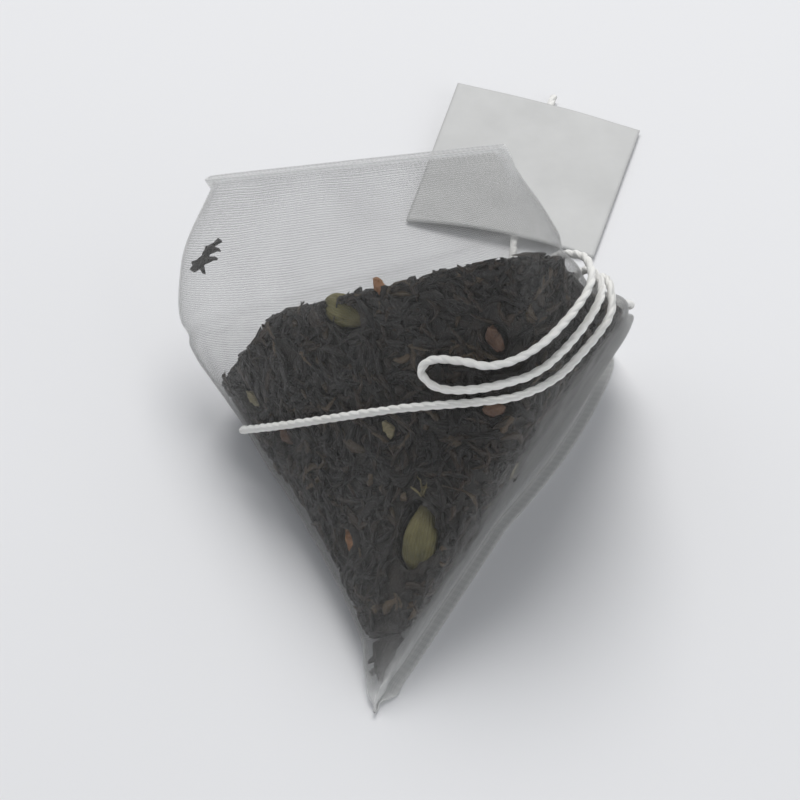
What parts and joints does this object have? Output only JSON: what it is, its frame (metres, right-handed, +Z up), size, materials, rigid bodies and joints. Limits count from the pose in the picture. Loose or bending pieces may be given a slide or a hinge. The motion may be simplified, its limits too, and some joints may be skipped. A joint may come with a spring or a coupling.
{
  "type": "tea bag",
  "caption": "Pyramid tea bag of sheer mesh with leaf tea and spices inside, lying on its side, with a cotton string and a square paper tag.",
  "frame": {"origin": "on the surface the bag lies on, under the middle of the pouch's box, the string and tag left out", "axes": "+Z up, +Y from the pouch's tip towards the tag, +X across, so a camera that looks along +Y sees the front"},
  "size_m": [0.0519, 0.0942, 0.0552],
  "materials": {
    "mesh": "sheer woven nylon, see-through",
    "tea": "dry loose leaves, matte",
    "pod": "dry ridged husk, satin",
    "peel": "dry peel, matte",
    "root": "dry root, matte",
    "hull": "dry hull, matte",
    "leaf": "dry leaf, matte",
    "cotton": "twisted thread, matte",
    "paper": "uncoated paper, matte"
  },
  "bodies": {
    "root": {"mesh_pouch": "mesh", "tea_fill": "tea", "cardamom_pod_front": "pod", "cardamom_pod_upper": "pod", "cardamom_pod_rear": "pod", "peel_chip_lower": "peel", "peel_chip_upper": "peel", "peel_chip_rear": "peel", "root_chip_lower": "root", "root_chip_upper": "root", "root_chip_middle": "root", "hull_chip_side": "hull", "root_chip_left": "root", "hull_chip": "hull", "husk_curl": "hull", "tea_leaf_tip": "leaf", "tea_leaf_corner": "leaf", "string": "cotton", "tag": "paper"}
  },
  "joints": []
}
